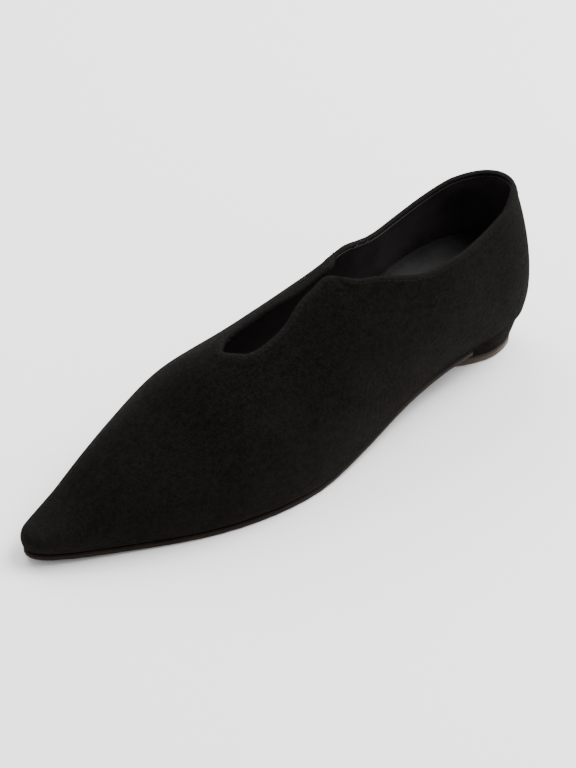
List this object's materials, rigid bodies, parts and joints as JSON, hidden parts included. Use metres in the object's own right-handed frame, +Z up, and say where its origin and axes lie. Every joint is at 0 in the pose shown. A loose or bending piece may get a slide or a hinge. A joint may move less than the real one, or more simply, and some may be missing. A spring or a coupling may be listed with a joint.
{
  "type": "pointed toe flat shoe",
  "caption": "Left shoe with a pointed toe, a slit down the vamp, an open collar, a raised insole and a low covered heel.",
  "frame": {"origin": "centre of the shoe's plan box, on the floor plane that the heel tip and the forepart of the outsole rest on", "axes": "+X from the back of the heel to the toe point, +Y to the outer side of the left foot, +Z up"},
  "size_m": [0.2692, 0.0784, 0.0898],
  "materials": {
    "black_suede": "napped suede, matt",
    "dark_sock_leather": "smooth lining leather, soft sheen",
    "dark_sole_leather": "stained sole leather, satin edge",
    "black_heel_suede": "napped suede over a heel block, matt",
    "brown_tip_rubber": "polished top piece, glossy rim"
  },
  "bodies": {
    "root": {"upper": "black_suede", "insole": "dark_sock_leather", "outsole": "dark_sole_leather", "heel": "black_heel_suede", "heel_tip": "brown_tip_rubber"}
  },
  "joints": []
}
